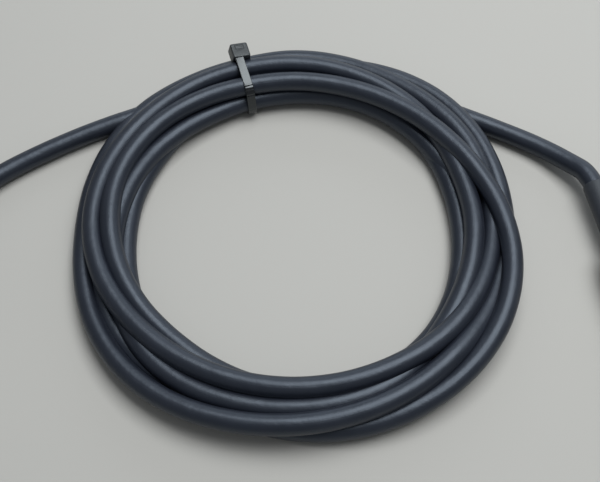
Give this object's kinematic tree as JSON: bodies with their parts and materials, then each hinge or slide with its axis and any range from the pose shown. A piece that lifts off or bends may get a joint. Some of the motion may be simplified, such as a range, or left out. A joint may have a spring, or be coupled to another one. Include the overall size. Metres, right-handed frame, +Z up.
{
  "type": "instrument cable",
  "caption": "Instrument cable wound in a flat round coil held by a cable tie, with a straight 6.35 mm jack plug at each end whose screw-on shell slides back along the cable.",
  "frame": {"origin": "centre of the coil's eye, on the surface that the coil lies on", "axes": "+Z up; +Y from the eye's centre towards the side where both ends cross the coil; +X to the right when seen from above with +Y up the page"},
  "size_m": [0.2229, 0.1711, 0.0145],
  "materials": {
    "cable_jacket": "satin dark blue-black",
    "tie_nylon": "glossy black nylon",
    "nickel": "bright nickel plate",
    "insulator": "black moulded insulator",
    "fibre_washer": "red-brown fibre",
    "lug_metal": "tinned sheet brass",
    "boot_rubber": "matte dark grey shrink sleeve",
    "copper": "tinned copper and solder",
    "liner_plastic": "natural insulating tube",
    "shell_metal": "satin nickel plate"
  },
  "bodies": {
    "cable": {"cable_coil": "cable_jacket", "left_lead": "cable_jacket", "right_lead": "cable_jacket", "cable_tie": "tie_nylon", "left_tip": "nickel", "left_insulator": "insulator", "left_barrel": "nickel", "left_washer": "fibre_washer", "left_tip_lug": "lug_metal", "left_ground_lug": "lug_metal", "left_boot": "boot_rubber", "left_cable_end": "cable_jacket", "left_conductor": "copper", "left_shield": "copper", "right_tip": "nickel", "right_insulator": "insulator", "right_barrel": "nickel", "right_washer": "fibre_washer", "right_tip_lug": "lug_metal", "right_ground_lug": "lug_metal", "right_boot": "boot_rubber", "right_cable_end": "cable_jacket", "right_conductor": "copper", "right_shield": "copper"},
    "left_liner_body": {"left_liner": "liner_plastic"},
    "right_liner_body": {"right_liner": "liner_plastic"},
    "left_shell_body": {"left_shell": "shell_metal"},
    "right_shell_body": {"right_shell": "shell_metal"}
  },
  "joints": [
    {"name": "left_shell_back", "type": "slide", "parent": "cable", "child": "left_liner_body", "axis": [0, 1, 0], "range_m": [0, 0.006]},
    {"name": "left_shell_turn", "type": "hinge", "parent": "left_liner_body", "child": "left_shell_body", "pos_m": [-0.108, -0.0525, 0.007], "axis": [0, 1, 0], "range_deg": [0, 2880]},
    {"name": "right_shell_back", "type": "slide", "parent": "cable", "child": "right_liner_body", "axis": [-0.1736, 0.9848, 0], "range_m": [0, 0.006]},
    {"name": "right_shell_turn", "type": "hinge", "parent": "right_liner_body", "child": "right_shell_body", "pos_m": [0.0967, -0.02432, 0.007], "axis": [-0.1736, 0.9848, 0], "range_deg": [0, 2880]}
  ],
  "couplings": [
    {"joint": "left_shell_back", "follows": "left_shell_turn", "m_per_rad": 0.00011937},
    {"joint": "right_shell_back", "follows": "right_shell_turn", "m_per_rad": 0.00011937}
  ]
}
